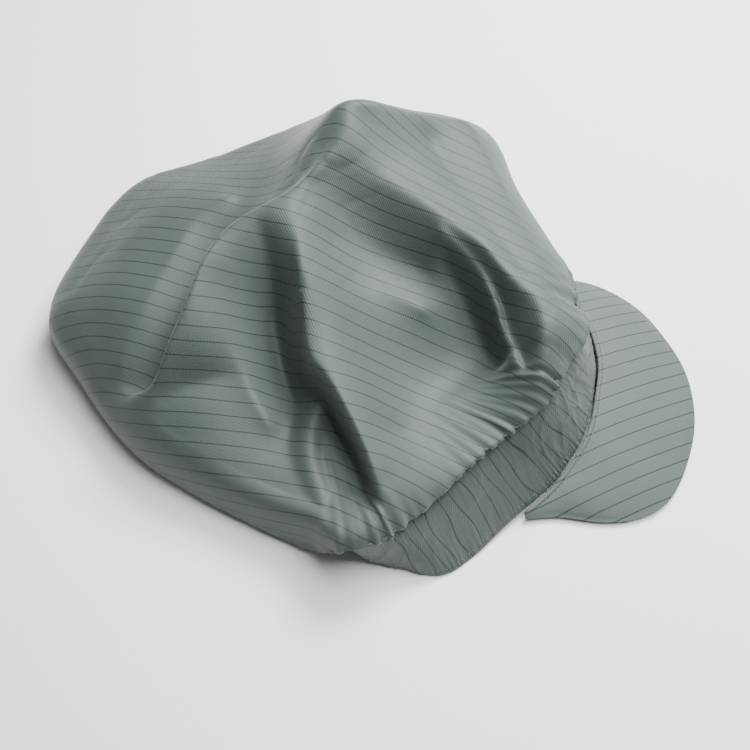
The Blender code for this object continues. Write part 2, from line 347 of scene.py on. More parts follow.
crown = {
    "halfWidth": 0.170,
    "halfLength": 0.180,
    "height": 0.110,
    "pole": (0.020, 0.040),
    "poleRise": 0.80,
    "stations": 400,
    "wall": 0.0007,
    "tuck": 0.0010,          # how far the cloth starts behind the top of the band
    "sink": 0.0020,          # the lowest cloth is pressed flat on the table
    "sinkFade": 0.0060,
    "gatherHumps": (26, 60),   # gathers round the whole band
    "gatherPatches": (7, 19),
    "gatherSlant": 0.10,
    "gatherRise": 0.0012,
    "gatherStart": 0.004,
    "gatherReach": 0.022,
    "crumpleRise": 0.0009,
    # size, seed, width, level and share
    "crumples": ((0.055, 8, 0.22, 0.35, 1.0), (0.028, 9, 0.18, 0.30, 0.4)),
    "crumplePatch": 0.12,
    "crumpleStart": (0.006, 0.040),
    "loose": 0.02,           # how firmly the threads keep their pitch underneath, beside 1 on top
    "columns": ("turn", "edgeX", "edgeY", "lowZ", "edgeZ", "lipZ", "shoulderZ", "browZ"),
    "rows": (
        (0.000, -0.28, -0.72, 0.69, 0.71, 0.78, 0.70, 0.78),
        (0.056, -0.41, -0.58, 0.64, 0.67, 0.67, 0.58, 0.70),
        (0.111, -0.48, -0.52, 0.58, 0.61, 0.61, 0.54, 0.67),
        (0.167, -0.52, -0.42, 0.50, 0.53, 0.55, 0.53, 0.66),
        (0.222, -0.55, -0.33, 0.44, 0.46, 0.50, 0.53, 0.66),
        (0.278, -0.61, -0.20, 0.41, 0.44, 0.48, 0.54, 0.66),
        (0.333, -0.71, -0.03, 0.37, 0.40, 0.46, 0.57, 0.67),
        (0.389, -0.78, 0.11, 0.37, 0.40, 0.47, 0.60, 0.68),
        (0.444, -0.81, 0.19, 0.38, 0.40, 0.48, 0.62, 0.68),
        (0.500, -0.80, 0.33, 0.34, 0.36, 0.50, 0.60, 0.67),
        (0.525, -0.70, 0.42, 0.10, 0.12, 0.46, 0.56, 0.66),
        (0.556, -0.57, 0.57, 0.03, 0.10, 0.42, 0.54, 0.65),
        (0.589, -0.36, 0.79, 0.00, 0.11, 0.38, 0.60, 0.70),
        (0.622, -0.13, 0.98, 0.00, 0.13, 0.40, 0.68, 0.76),
        (0.656, 0.20, 1.12, 0.00, 0.16, 0.42, 0.73, 0.78),
        (0.689, 0.52, 1.20, 0.00, 0.21, 0.44, 0.74, 0.80),
        (0.722, 0.82, 1.02, 0.00, 0.28, 0.48, 0.76, 0.82),
        (0.750, 1.03, 0.76, 0.00, 0.40, 0.58, 0.82, 0.84),
        (0.778, 1.07, 0.40, 0.00, 0.44, 0.62, 0.84, 0.87),
        (0.806, 1.08, 0.03, 0.00, 0.54, 0.74, 0.90, 0.89),
        (0.831, 1.04, -0.34, 0.00, 0.57, 0.78, 0.91, 0.88),
        (0.853, 0.88, -0.71, 0.15, 0.45, 0.72, 0.86, 0.86),
        (0.875, 0.52, -0.74, 0.34, 0.48, 0.70, 0.82, 0.84),
        (0.900, 0.22, -0.76, 0.54, 0.58, 0.70, 0.78, 0.82),
        (0.928, 0.01, -0.76, 0.66, 0.66, 0.73, 0.76, 0.81),
        (0.961, -0.14, -0.73, 0.68, 0.69, 0.75, 0.72, 0.79),
    ),
    # height, side, share of the way on that side, rings up to it
    "levels": (
        ("seam", "under", 0.00, 0),
        ("lowZ", "under", 0.32, 6),
        ("lowZ", "under", 0.80, 6),
        ("edgeZ", "over", 0.00, 5),
        ("lipZ", "over", 0.12, 9),
        ("shoulderZ", "over", 0.38, 34),
        ("browZ", "over", 0.72, 38),
        ("pole", "over", 1.00, 20),
    ),
}

folds = {
    "crestPoints": 181,
    "turn": 0.05,
    "endShare": 0.35,
    "freeShare": 0.16,
    # four points along the crest, then the rise, the two side widths, the lean to the right
    # and the radius of the crest, all as shares of the crown's sizes
    "columns": ("x1", "y1", "x2", "y2", "x3", "y3", "x4", "y4",
                "rise", "gentle", "steep", "lean", "round"),
    "rows": {
        "topRidge": (1.16, -0.16, 0.92, -0.12, 0.74, -0.06, 0.60, 0.00, 0.12, 0.20, 0.18, 0.00, 0.10),
        "frontRidge": (0.84, -0.12, 0.57, -0.14, 0.19, -0.38, -0.22, -0.56, 0.20, 0.28, 0.15, 0.04, 0.10),
        "frontPleat": (-0.06, -0.50, -0.20, -0.56, -0.36, -0.52, -0.48, -0.46, 0.12, 0.12, 0.10, 0.0, 0.06),
        "frontValley": (0.60, 0.06, 0.20, -0.16, -0.05, -0.32, -0.30, -0.42, -0.12, 0.22, 0.26, 0.00, 0.20),
        "longRidge": (0.80, -0.10, 0.50, 0.14, 0.28, 0.46, -0.12, 0.76, 0.22, 0.24, 0.14, 0.08, 0.06),
        "longValley": (0.80, 0.26, 0.58, 0.46, 0.42, 0.70, 0.10, 0.92, -0.08, 0.16, 0.24, 0.00, 0.20),
        "sideRidge": (0.46, 0.32, 0.18, 0.22, -0.20, 0.22, -0.74, 0.12, 0.20, 0.26, 0.12, 0.06, 0.06),
        "sideValley": (0.34, 0.40, 0.10, 0.42, -0.14, 0.44, -0.36, 0.48, -0.14, 0.14, 0.18, 0.00, 0.20),
        "panelScoop": (0.30, 0.02, 0.00, -0.06, -0.26, -0.14, -0.44, -0.20, -0.10, 0.40, 0.40, 0.00, 0.40),
        "farRidge": (0.90, -0.60, 0.62, -0.64, 0.30, -0.62, -0.02, -0.64, 0.08, 0.16, 0.14, 0.00, 0.10),
    },
}


def crownStations():
    at = np.arange(crown["stations"]) / crown["stations"]
    turns = readColumn(crown, "turn")
    lag = closedCurve(turns - np.arange(len(turns)) / len(turns), at)
    return at, at + lag


def crownLevels(at, place):
    tops = ringPoints("top", place)
    rims = ringPoints("rim", place)
    seam = tops - crown["tuck"] * unit(tops - rims)
    edge = np.column_stack([
        crown["halfWidth"] * closedCurve(readColumn(crown, "edgeX"), at) - rest[0],
        crown["halfLength"] * closedCurve(readColumn(crown, "edgeY"), at) - rest[1],
    ])
    pole = np.array([crown["pole"][0] - rest[0], crown["pole"][1] - rest[1]])
    levels, way, last = [], [0.0], len(crown["levels"]) - 1
    for k, (name, side, share, rings) in enumerate(crown["levels"]):
        if side == "under":
            plan = seam[:, :2] + share * (edge - seam[:, :2])
        else:
            plan = edge + share * (pole - edge)
        if name == "seam":
            height = seam[:, 2]
        elif name == "pole":
            height = np.full(len(at), crown["height"] * crown["poleRise"])
        else:
            height = crown["height"] * closedCurve(readColumn(crown, name), at)
        levels.append(np.column_stack([plan, height]))
        way.extend((k - 1 + (step + 1) / rings) / last for step in range(rings))
    return np.stack(levels), np.array(way)


def nearestMark(plan, marks):
    # number of the mark that is nearest to each point, and its squared distance
    nearest = np.zeros(plan.shape[:-1], int)
    best = np.full(plan.shape[:-1], 9.0)
    for k, mark in enumerate(marks):
        far = ((plan - mark) ** 2).sum(-1)
        closer = far < best
        best[closer] = far[closer]
        nearest[closer] = k
    return nearest, best


def foldCrest(fold):
    marks = [
        (crown["halfWidth"] * fold["x%d" % k] - rest[0], crown["halfLength"] * fold["y%d" % k] - rest[1])
        for k in (1, 2, 3, 4)
    ]
    return openCurve(marks, np.linspace(0.0, 1.0, folds["crestPoints"]))


def addFolds(grid, hold):
    plan = grid[..., :2]
    lift = np.zeros(grid.shape[:-1])
    shift = np.zeros(plan.shape)
    high = crown["height"]
    for row in folds["rows"].values():
        fold = dict(zip(folds["columns"], row))
        crest = foldCrest(fold)
        right = unit(np.gradient(crest, axis=0))
        right = np.stack([right[:, 1], -right[:, 0]], axis=1)
        nearest, best = nearestMark(plan, crest)
        side = ((plan - crest[nearest]) * right[nearest]).sum(-1)
        steepness = 0.5 + 0.5 * np.tanh(side / (folds["turn"] * high))
        width = high * (fold["gentle"] + (fold["steep"] - fold["gentle"]) * steepness)
        crestRound = high * fold["round"]
        away = np.sqrt(best + crestRound ** 2) - crestRound
        along = nearest / (folds["crestPoints"] - 1)
        fade = np.minimum(4 * along * (1 - along) + folds["endShare"], 1.0)
        swell = fade * np.exp(-away * (away + crestRound) / (width * (width * 0.55 + crestRound)))
        lift += fold["rise"] * high * swell
        shift += (fold["lean"] * high * swell)[..., None] * right[nearest]
    moved = grid.copy()
    moved[..., 2] += lift * hold
    moved[..., :2] += shift * hold[..., None]
    return moved


creases = {
    "cell": 1.25,         # mm, raster that the cloth is stretched on
    "soften": 14.0,       # mm, how far the plain body is smoothed first
    "round": 1.7,         # mm, rounding of the crests
    "spacing": 0.7,       # mm between the points that hold the film
    "pull": 30.0,         # how strongly they hold it
    "turns": 700,         # most turns of the solver
    "relax": 3,           # rounds of evening out afterwards
    "overBand": 0.0035,   # clear height over the band's top edge
    "bandSlope": 0.8,     # how steeply that clear height falls beside the edge
    "leanReach": 16.0,    # mm, how far a leaning crest takes the cloth behind it along
    # width in mm of the drop beside a crest, to the right of its run, and its lean over it in mm
    "feet": {"backRidge": (7, 5), "panelFold": (4, 2), "pleatEdge": (-3, 0)},
    # crests and hollows seen in the cloth, each from one end to the other: x, y and height in
    # mm, and how far the cloth drops beside the ones that have a foot
    "lines": {
        "backRidge": (
            (114, -20, 141, 2), (101, -15, 136, 3), (89, -5, 130, 4), (78, 11, 124, 6),
            (71, 25, 119, 9), (65, 47, 115, 14), (59, 66, 112, 24), (51, 80, 109, 30),
            (38, 93, 106, 34), (24, 104, 100, 35), (9, 115, 92, 35), (-4, 127, 83, 34),
            (-15, 138, 72, 28), (-19, 149, 60, 18), (-16, 163, 48, 8),
        ),
        "lobeRise": (
            (98, 70, 92), (90, 92, 87), (72, 109, 83), (55, 125, 77), (38, 140, 71), (23, 154, 62),
            (9, 167, 51),
        ),
        "lobeTop": (
            (153, 121, 62), (109, 125, 75), (96, 144, 70), (89, 167, 58), (78, 190, 49),
        ),
        "lobeEdge": (
            (77, 200, 46), (65, 193, 49), (49, 186, 50), (31, 183, 47), (14, 182, 41), (-3, 182, 33),
        ),
        "faceSpine": (
            (35, 83, 102), (21, 86, 90), (2, 89, 79), (-16, 88, 68), (-35, 85, 58), (-60, 78, 49),
        ),
        "faceDip": (
            (-26, 144, 53), (-23, 123, 58), (-23, 102, 62), (-25, 86, 63),
        ),
        "faceLow": (
            (-44, 145, 46), (-64, 122, 44), (-78, 96, 41), (-95, 67, 40), (-114, 42, 41),
        ),
        "faceGutter": (
            (49, 54, 107), (38, 55, 93), (25, 56, 75), (12, 58, 59), (-5, 59, 49), (-25, 59, 42),
            (-45, 58, 40),
        ),
        "panelEdge": (
            (59, 33, 118), (37, 35, 112), (14, 38, 105), (-6, 41, 96), (-17, 43, 90),
        ),
        "panelFold": (
            (-17, 43, 90, 14), (-30, 45, 86, 24), (-41, 44, 83, 30), (-53, 38, 81, 34),
            (-69, 33, 78, 36), (-86, 29, 73, 32), (-103, 26, 68, 26), (-119, 25, 62, 18),
            (-131, 24, 56, 7),
        ),
        "frontRidge": (
            (69, 23, 119), (73, 7, 117), (72, -10, 116), (67, -26, 115), (56, -40, 113), (42, -53, 110),
            (28, -63, 108), (15, -71, 105), (1, -79, 102), (-14, -86, 100), (-28, -93, 99),
            (-40, -102, 98),
        ),
        "panelTop": (
            (46, 18, 106), (40, 2, 92), (34, -17, 84), (23, -35, 79), (11, -49, 76),
        ),
        "panelMiddle": (
            (4, -12, 79), (-6, -27, 75), (-15, -40, 71),
        ),
        "panelFoot": (
            (-83, 16, 69), (-88, -1, 55), (-86, -18, 50), (-75, -38, 48), (-67, -62, 49),
        ),
        "pleatEdge": (
            (23, -58, 106, 2), (15, -64, 103, 4), (6, -71, 100, 6), (-5, -77, 97, 9),
            (-17, -80, 94, 12), (-31, -82, 90, 14), (-43, -81, 85, 14), (-58, -83, 80, 12),
            (-73, -85, 76, 8),
        ),
        "pleatSpine": (
            (-42, -103, 98), (-55, -101, 95), (-70, -98, 89), (-84, -94, 80), (-95, -89, 69),
        ),
        "hollow": (
            (14, -59, 84), (-2, -66, 72), (-20, -71, 60), (-40, -76, 52), (-59, -80, 50),
        ),
        "summit": (
            (114, -20, 141), (114, -32, 139), (114, -45, 131), (116, -64, 118), (117, -87, 105),
            (115, -104, 98),
        ),
        "topGutter": (
            (109, -28, 134), (98, -31, 127), (83, -39, 117), (65, -51, 110), (45, -65, 106),
            (22, -79, 103),
        ),
        "rightPlane": (
            (104, -75, 100), (75, -81, 98), (41, -89, 98), (10, -96, 97), (-16, -104, 95),
        ),
        "rightCrest": (
            (119, -107, 97), (94, -111, 93), (63, -115, 91), (38, -116, 90), (16, -119, 90),
            (-11, -121, 91), (-33, -123, 89), (-50, -127, 86),
        ),
    },
}


def rasterCorners(at, size):
    # numbers of the four raster points round each spot, and each one's share in it
    at = np.clip(at, 0, np.array(size) - 1.001)
    first = at.astype(int)
    a, b = (at - first)[..., 0], (at - first)[..., 1]
    corner = first[..., 0] * size[1] + first[..., 1]
    index = np.stack([corner, corner + size[1], corner + 1, corner + size[1] + 1], axis=-1)
    return index, np.stack([(1 - a) * (1 - b), a * (1 - b), (1 - a) * b, a * b], axis=-1)


def blurRaster(raster, inside, cells):
    reach = int(3 * cells) + 1
    kernel = np.exp(-0.5 * (np.arange(-reach, reach + 1) / cells) ** 2)
    both = np.stack([raster * inside, inside.astype(float)])
    for axis in (1, 2):
        both = np.apply_along_axis(lambda line: np.convolve(line, kernel, "same"), axis, both)
    return np.where(inside, both[0] / np.maximum(both[1], 1e-9), 0.0)


def creaseSamples():
    spots = []
    for name, line in creases["lines"].items():
        rows = np.array(line, float)
        length = np.linalg.norm(np.diff(rows[:, :2], axis=0), axis=1).sum()
        rows = openCurve(rows, np.linspace(0, 1, int(length / creases["spacing"])))
        run = unit(np.gradient(rows[:, :2], axis=0))
        side = np.stack([run[:, 1], -run[:, 0]], axis=1)
        spots.append(rows[:, :3])
        if name in creases["feet"]:
            foot = creases["feet"][name][0]
            spots.append(np.column_stack([rows[:, :2] + foot * side, rows[:, 2] - rows[:, 3]]))
    return np.concatenate(spots) * mm


def stretchedTop(grid, first):
    # height of the top cloth over a raster: the softened body, pulled up to every crest and
    # down to every hollow, and as taut as a film in between
    cell = creases["cell"] * mm
    points = grid[first:].reshape(-1, 3)
    faces = gridFaces(grid.shape[0] - first, grid.shape[1], True)
    tree = BVHTree.FromPolygons([Vector(p) for p in points], faces)
    low = points[:, :2].min(0) - 3 * cell
    size = np.ceil((points[:, :2].max(0) + 3 * cell - low) / cell).astype(int) + 1
    height = np.full(tuple(size), -1.0)
    for i in range(size[0]):
        for j in range(size[1]):
            found = tree.ray_cast(Vector((low[0] + i * cell, low[1] + j * cell, 0.4)), Vector((0, 0, -1)))
            if found[0] is not None:
                height[i, j] = found[0].z
    inside = height >= 0
    body = blurRaster(height, inside, creases["soften"] / creases["cell"])
    samples = creaseSamples()
    index, shares = rasterCorners((samples[:, :2] - low) / cell, size)
    shares = shares * inside.ravel()[index]
    wanted = samples[:, 2] - (body.ravel()[index] * shares).sum(1) / np.maximum(shares.sum(1), 1e-9)
    total = size[0] * size[1]
    mask = inside.ravel().astype(float)

    def gather(values):
        return np.bincount(index.ravel(), (shares * values[:, None]).ravel(), total)

    def spread(values):
        film = values.reshape(size)
        around = 4 * film
        around[1:] -= film[:-1]
        around[:-1] -= film[1:]
        around[:, 1:] -= film[:, :-1]
        around[:, :-1] -= film[:, 1:]
        held = (values[index] * shares).sum(1)
        return mask * (around.ravel() + creases["pull"] * gather(held))

    diagonal = 4 + creases["pull"] * gather(np.ones(len(wanted)))
    goal = mask * creases["pull"] * gather(wanted)
    film = conjugateGradient(spread, goal, diagonal, np.zeros(total), creases["turns"], 1e-7)
    film = body + film.reshape(size)
    # the cloth stays over the hidden top edge of the headband
    across = low[0] + cell * np.arange(size[0])[:, None]
    along = low[1] + cell * np.arange(size[1])[None, :]
    for x, y, z in ringPoints("top", np.linspace(0, 1, 300, endpoint=False)):
        apart = np.sqrt((across - x) ** 2 + (along - y) ** 2)
        beside = creases["bandSlope"] * np.maximum(apart - 3 * mm, 0)
        film = np.maximum(film, z + creases["overBand"] - beside)
    film = blurRaster(film, inside, creases["round"] / creases["cell"])
    return film, low, cell


def relax(grid, hold, turns):
    # evens out the small steps that a crest running across the grid leaves
    for turn in range(turns):
        middle = grid[1:-1]
        around = 0.25 * (np.roll(middle, 1, axis=1) + np.roll(middle, -1, axis=1) + grid[:-2] + grid[2:])
        grid = grid.copy()
        grid[1:-1] += 0.5 * hold[1:-1, :, None] * (around - middle)
    return grid


def leanOver(grid, hold):
    # crests that overhang the hollow beside them
    plan = grid[..., :2]
    shift = np.zeros(plan.shape)
    reach = creases["leanReach"] * mm
    for name, (foot, lean) in creases["feet"].items():
        if not lean:
            continue
        rows = openCurve(creases["lines"][name], np.linspace(0, 1, 60))
        run = unit(np.gradient(rows[:, :2], axis=0))
        side = np.stack([run[:, 1], -run[:, 0]], axis=1) * math.copysign(1, foot)
        amount = lean * mm * rows[:, 3] / rows[:, 3].max()
        nearest, best = nearestMark(plan, rows[:, :2] * mm)
        beside = ((plan - rows[nearest, :2] * mm) * side[nearest]).sum(-1)
        away = np.sqrt(best)
        width = np.where(beside > 0, 0.5 * abs(foot) * mm, reach)
        fade = np.exp(-(away / width) ** 2)
        shift += (fade * amount[nearest])[..., None] * side[nearest]
    moved = grid.copy()
    moved[..., :2] += shift * hold[..., None]
    return moved


weave = {
    "pull": 0.6,   # how strongly the cloth's threads are held to the directions below
    # x and y in mm, and the stripe's direction in plan there, in degrees
    "threadAngles": (
        (94, 199, -98), (90, 183, -113), (83, 167, -125), (91, 151, -127), (127, 124, -125),
        (110, 89, -119), (68, 110, -113), (85, 100, -115), (46, 150, -127), (21, 141, -127),
        (7, 151, -132), (28, 169, -127), (6, 170, -126), (55, 179, -115), (62, 202, -75),
        (26, 189, -71), (127, 65, -125), (120, 44, -137), (91, 70, -117), (107, 16, -146),
        (156, 99, -124), (28, 90, -106), (9, 73, -83), (-5, 108, -105), (-8, 64, -85),
        (-21, 112, -101), (-23, 74, -92), (-44, 54, -104), (-34, 129, -112), (-46, 87, -94),
        (-63, 45, -110), (-55, 122, -109), (-74, 94, -97), (-94, 66, -97), (-119, 53, -98),
        (-83, 117, -116), (-113, 92, -121), (-41, 154, -127), (-22, 165, -134), (-60, 146, -129),
        (-80, 133, -133), (-32, 168, -141), (-128, 76, -126), (-141, 52, -103), (52, 68, -112),
        (57, 50, -113), (61, 33, -117), (41, 45, -130), (39, 32, -128), (26, 52, -120), (16, 48, -141),
        (-0, 42, -152), (-3, 50, -141), (-21, 46, -159), (22, 17, -120), (38, -1, -133),
        (6, -27, -141), (-23, -54, -139), (-28, -38, -129), (-38, -57, -116), (-54, -66, -120),
        (-71, -74, -139), (-70, -33, -128), (-21, 14, -118), (-58, 36, -133), (-85, 31, -133),
        (-56, 10, -117), (-89, 6, -122), (-27, -18, -129), (6, -6, -129), (36, -21, -140),
        (61, -7, -138), (69, 4, -119), (74, -4, -110), (59, -27, -139), (37, -49, -147),
        (104, -39, -114), (102, -67, -88), (95, -95, -107), (74, -74, -111), (64, -93, -114),
        (71, -44, -139), (88, -29, -137), (45, -101, -128), (17, -106, -154), (-9, -110, -163),
        (-35, -111, -169), (-51, -116, -165), (-64, -119, -158), (36, -76, -135), (17, -84, -141),
        (-7, -91, -163), (-36, -95, -164), (-56, -93, -168), (-73, -99, -166), (-83, -100, -157),
        (108, -20, -107), (109, -6, -124), (85, -10, -111), (76, -18, -125), (86, 14, -125),
        (104, 2, -128), (68, 18, -102), (66, 32, -110), (94, 45, -141),
    ),
}


def stripeField(grid, normals, first, hold):
    # unit directions across and along the stripes, both in the cloth's own surface
    table = np.array(weave["threadAngles"], float)
    top = grid[first:].reshape(-1, 3)
    facing = normals[first:].reshape(-1, 3)
    spots, aims = [], []
    for x, y, degrees in table:
        near = ((top[:, :2] / mm - (x, y)) ** 2).sum(1)
        spot = near.argmin()
        normal = facing[spot]
        plan = np.array([math.cos(math.radians(degrees)), math.sin(math.radians(degrees))])
        rise = -(plan @ normal[:2]) / (math.copysign(max(abs(normal[2]), 0.35), normal[2]))
        aims.append(unit(np.array([plan[0], plan[1], rise])))
        spots.append(top[spot])
    along = carryDirections(grid, normals, np.array(spots), np.array(aims), hold)
    return np.cross(along, normals), along


def makeCrown():
    at, place = crownStations()
    levels, way = crownLevels(at, place)
    grid = openCurve(levels, way)
    edgeWay = 3 / (len(crown["levels"]) - 1)  # the level of edgeZ, the crown's widest line
    free = np.clip((way - edgeWay) / folds["freeShare"], 0.0, 1.0)
    hold = free[:, None] * np.ones(crown["stations"])
    grid = addFolds(grid, hold)
    top = int(np.argmax(way >= edgeWay))
    film, low, cell = stretchedTop(grid, top)
    index, shares = rasterCorners((grid[top:, :, :2] - low) / cell, film.shape)
    raised = (film.ravel()[index] * shares).sum(-1)
    grid[top:, :, 2] += hold[top:] * (raised - grid[top:, :, 2])
    grid = leanOver(grid, hold)
    grid = relax(grid, hold, creases["relax"])
    normals = gridNormals(grid, True)
    # gathers at the band, deepest just off the seam
    fromSeam = lengthFromSeam(grid)
    turn = place[None, :] + crown["gatherSlant"] * fromSeam * np.sin(40 * place)[None, :]
    patches = smoothStep(-0.8, 1.1, ringNoise(turn, crown["gatherPatches"], 5))
    hump = ringNoise(turn, crown["gatherHumps"], 4) * (0.45 + 0.75 * patches)
    gather = np.sign(hump) * np.abs(hump) ** 0.8 * crown["gatherRise"]
    reach = np.clip(fromSeam / crown["gatherStart"], 0, 1) * np.exp(-fromSeam / crown["gatherReach"])
    # soft crumples of the whole cloth
    crumple = 0.0
    for size, seed, width, level, share in crown["crumples"]:
        crumple = crumple + share * (np.exp(-np.abs(softNoise(grid, size, seed)) / width) - level)
    patch = smoothStep(-0.3, 1.4, softNoise(grid, crown["crumplePatch"], 10))
    away = smoothStep(*crown["crumpleStart"], fromSeam)
    rise = gather * reach + crown["crumpleRise"] * crumple * patch * away
    grid = grid + normals * rise[..., None]
    pressed = crown["sink"] * np.exp(-np.maximum(grid[..., 2], 0) / crown["sinkFade"])
    grid[..., 2] = np.maximum(grid[..., 2] - pressed, 0.0)
    # close the pole
    rings, stations = grid.shape[:2]
    grid[-1] = grid[-1].mean(axis=0)
    normals = gridNormals(grid, True)
    normals[-1] = unit(normals[-2].mean(axis=0))
    # underneath, the gathers take up the cloth that the head's round has too little room for;
    # the grid's normals point into the cap
    firm = crown["loose"] + (1 - crown["loose"]) * smoothStep(-0.5, 0.0, -normals[..., 2])
    across, along = stripeField(grid, normals, top, firm)
    stripe = solveThreads(grid, across, firm)
    thread = solveThreads(grid, along, firm)
    points = np.concatenate([grid[:-1].reshape(-1, 3), grid[-1, :1]])
    faces = gridFaces(rings - 1, stations, True, flip=True)
    tip = len(points) - 1
    for i in range(stations):
        faces.append((tip, (rings - 2) * stations + (i + 1) % stations, (rings - 2) * stations + i))
    values = np.column_stack([
        np.append(stripe[:-1].ravel(), stripe[-1].mean()),
        np.append(thread[:-1].ravel(), thread[-1].mean()),
    ]) / mm
    corners = np.fromiter((corner for face in faces for corner in face), int)
    thing = newObject("crown_cloth", points, faces, values[corners])
    addModifier(thing, "wall", "SOLIDIFY", thickness=crown["wall"], offset=-1.0)
    area = sum(face.area for face in thing.data.polygons)
    print("crown: %d faces, %.4f m2 of cloth" % (len(faces), area))
    return thing, grid, fromSeam


# headband

band = {
    "stations": 480,
    "wall": 0.0024,
    "puff": 0.0009,           # how far the two halves swell beside the crease
    "creaseDepth": 0.0008,
    "creaseHeight": 0.52,
    "puckerRise": 0.0008,
    "puckerReach": 0.010,
    "puckerHumps": (38, 78),
    "rumpleRise": 0.0014,
    "rumpleSize": 0.020,
    "edgeLift": 0.0002,
    "stitchHeights": (1 - 3.0 * mm / ring["bandHeight"], 3.5 * mm / ring["bandHeight"]),
    "outerRings": 34,
    "roundRings": 5,
    "innerRings": 12,
}


def bandFrame():
    at = np.arange(band["stations"]) / band["stations"]
    rim = ringPoints("rim", at)
    top = ringPoints("top", at)
    middle = 0.5 * (rim + top)
    length = np.linalg.norm(np.roll(middle, -1, axis=0) - middle, axis=1)
    run = np.concatenate([[0.0], np.cumsum(length)])
    along = unit(np.roll(middle, -1, axis=0) - np.roll(middle, 1, axis=0))
    outward = unit(np.cross(unit(top - rim), along))
    return at, rim, top, outward, run


def bandBulge(at, height, run, plain=False):
    # height is the share of the way from rim to top; returns how far the cloth stands out
    swell = band["puff"] * np.sin(math.pi * np.clip(height, 0, 1)) ** 0.5
    if plain:
        return swell
    crease = np.exp(-((height - band["creaseHeight"] - 0.05 * ringNoise(at, (3, 9), 21)) / 0.055) ** 2)
    swell = swell - band["creaseDepth"] * crease * smoothStep(-0.9, 0.4, ringNoise(at, (2, 5), 22))
    # puckers at the top and the lower edge
    slant = at + 0.012 * (height - 0.5)
    for seed, far in ((23, ring["bandHeight"] * (1 - height)), (24, ring["bandHeight"] * height)):
        pucker = band["puckerRise"] * (np.abs(ringNoise(slant, band["puckerHumps"], seed)) ** 0.8 - 0.6)
        swell = swell + pucker * np.exp(-far / band["puckerReach"]) * np.clip(far / (1.5 * mm), 0.15, 1)
    # slanting rumples across the strip
    climb = ring["bandHeight"] * height * np.ones_like(at)
    spot = np.stack([run[-1] * at + 0.7 * climb, 0.45 * climb], axis=-1)
    lump = np.exp(-np.abs(softNoise(spot, band["rumpleSize"], 25)) / 0.45) - 0.5
    inner = np.sin(math.pi * np.clip(height, 0, 1)) ** 1.2
    wrap = smoothStep(0.0, 0.03, at) * smoothStep(0.0, 0.03, 1 - at)
    patches = 0.35 + 0.65 * smoothStep(-0.5, 1.0, ringNoise(at, (2, 6), 26))
    swell = swell + band["rumpleRise"] * lump * inner * patches * wrap
    # the stitch rows pull the cloth in
    for spotHeight in band["stitchHeights"]:
        swell = swell - 0.5 * mm * np.exp(-((height - spotHeight) * ring["bandHeight"] / (0.9 * mm)) ** 2)
    return swell


def makeBand():
    at, rim, top, outward, run = bandFrame()
    half = 0.5 * band["wall"]
    up = unit(top - rim)
    topEdge, rimEdge = (bandBulge(at, np.full(len(at), edge), run)[:, None] for edge in (1.0, 0.0))
    rows, heights = [], []
    for height in np.linspace(0.0, 1.0, band["outerRings"]):
        out = bandBulge(at, np.full(len(at), height), run)
        rows.append(rim + height * (top - rim) + outward * out[:, None])
        heights.append(height)
    for k in range(1, band["roundRings"]):
        angle = math.pi * k / band["roundRings"]
        back, lift = half * (math.cos(angle) - 1), half * math.sin(angle)
        rows.append(top + outward * (back + topEdge) + lift * up)
        heights.append(1.0 + 0.01 * k)
    for height in np.linspace(1.0, 0.0, band["innerRings"]):
        out = bandBulge(at, np.full(len(at), height), run, plain=True)
        rows.append(rim + height * (top - rim) - outward * (band["wall"] - 0.3 * out[:, None]))
        heights.append(height)
    for k in range(1, band["roundRings"]):
        angle = math.pi * k / band["roundRings"]
        back, drop = half * (-math.cos(angle) - 1), 0.6 * half * math.sin(angle)
        rows.append(rim + outward * (back + rimEdge) - drop * up)
        heights.append(-0.01 * k)
    grid = np.stack(rows)
    grid[..., 2] = np.maximum(grid[..., 2], band["edgeLift"])
    count, stations = grid.shape[:2]
    heights = np.array(heights)
    total = run[-1]
    pitches = round(total / (stripes["pitch"] * mm))
    # the stripes sway a little, in mm, as the strip was sewn on
    climb = math.pi * np.clip(heights, 0, 1)[:, None]
    sway = 2.2 * ringNoise(at, (5, 16), 31) * np.sin(climb)
    sway = sway + 1.2 * ringNoise(at, (9, 26), 32) * np.sin(2 * climb)
    faces, threads = [], []
    for j in range(count):
        k = (j + 1) % count
        for i in range(stations):
            n = (i + 1) % stations
            faces.append((j * stations + i, j * stations + n, k * stations + n, k * stations + i))
            for row, column, step in ((j, i, i), (j, n, i + 1), (k, n, i + 1), (k, i, i)):
                share = run[step] / total
                height = heights[row] if not (row == 0 and j == count - 1) else -0.01 * band["roundRings"]
                threads.append((
                    pitches * stripes["pitch"] * share + sway[row, column],
                    height * ring["bandHeight"] / mm,
                ))
    thing = newObject("headband_cloth", grid.reshape(-1, 3), faces, threads)
    print("band: %d faces, %.0f mm round" % (len(faces), total / mm))
    return thing


# peak

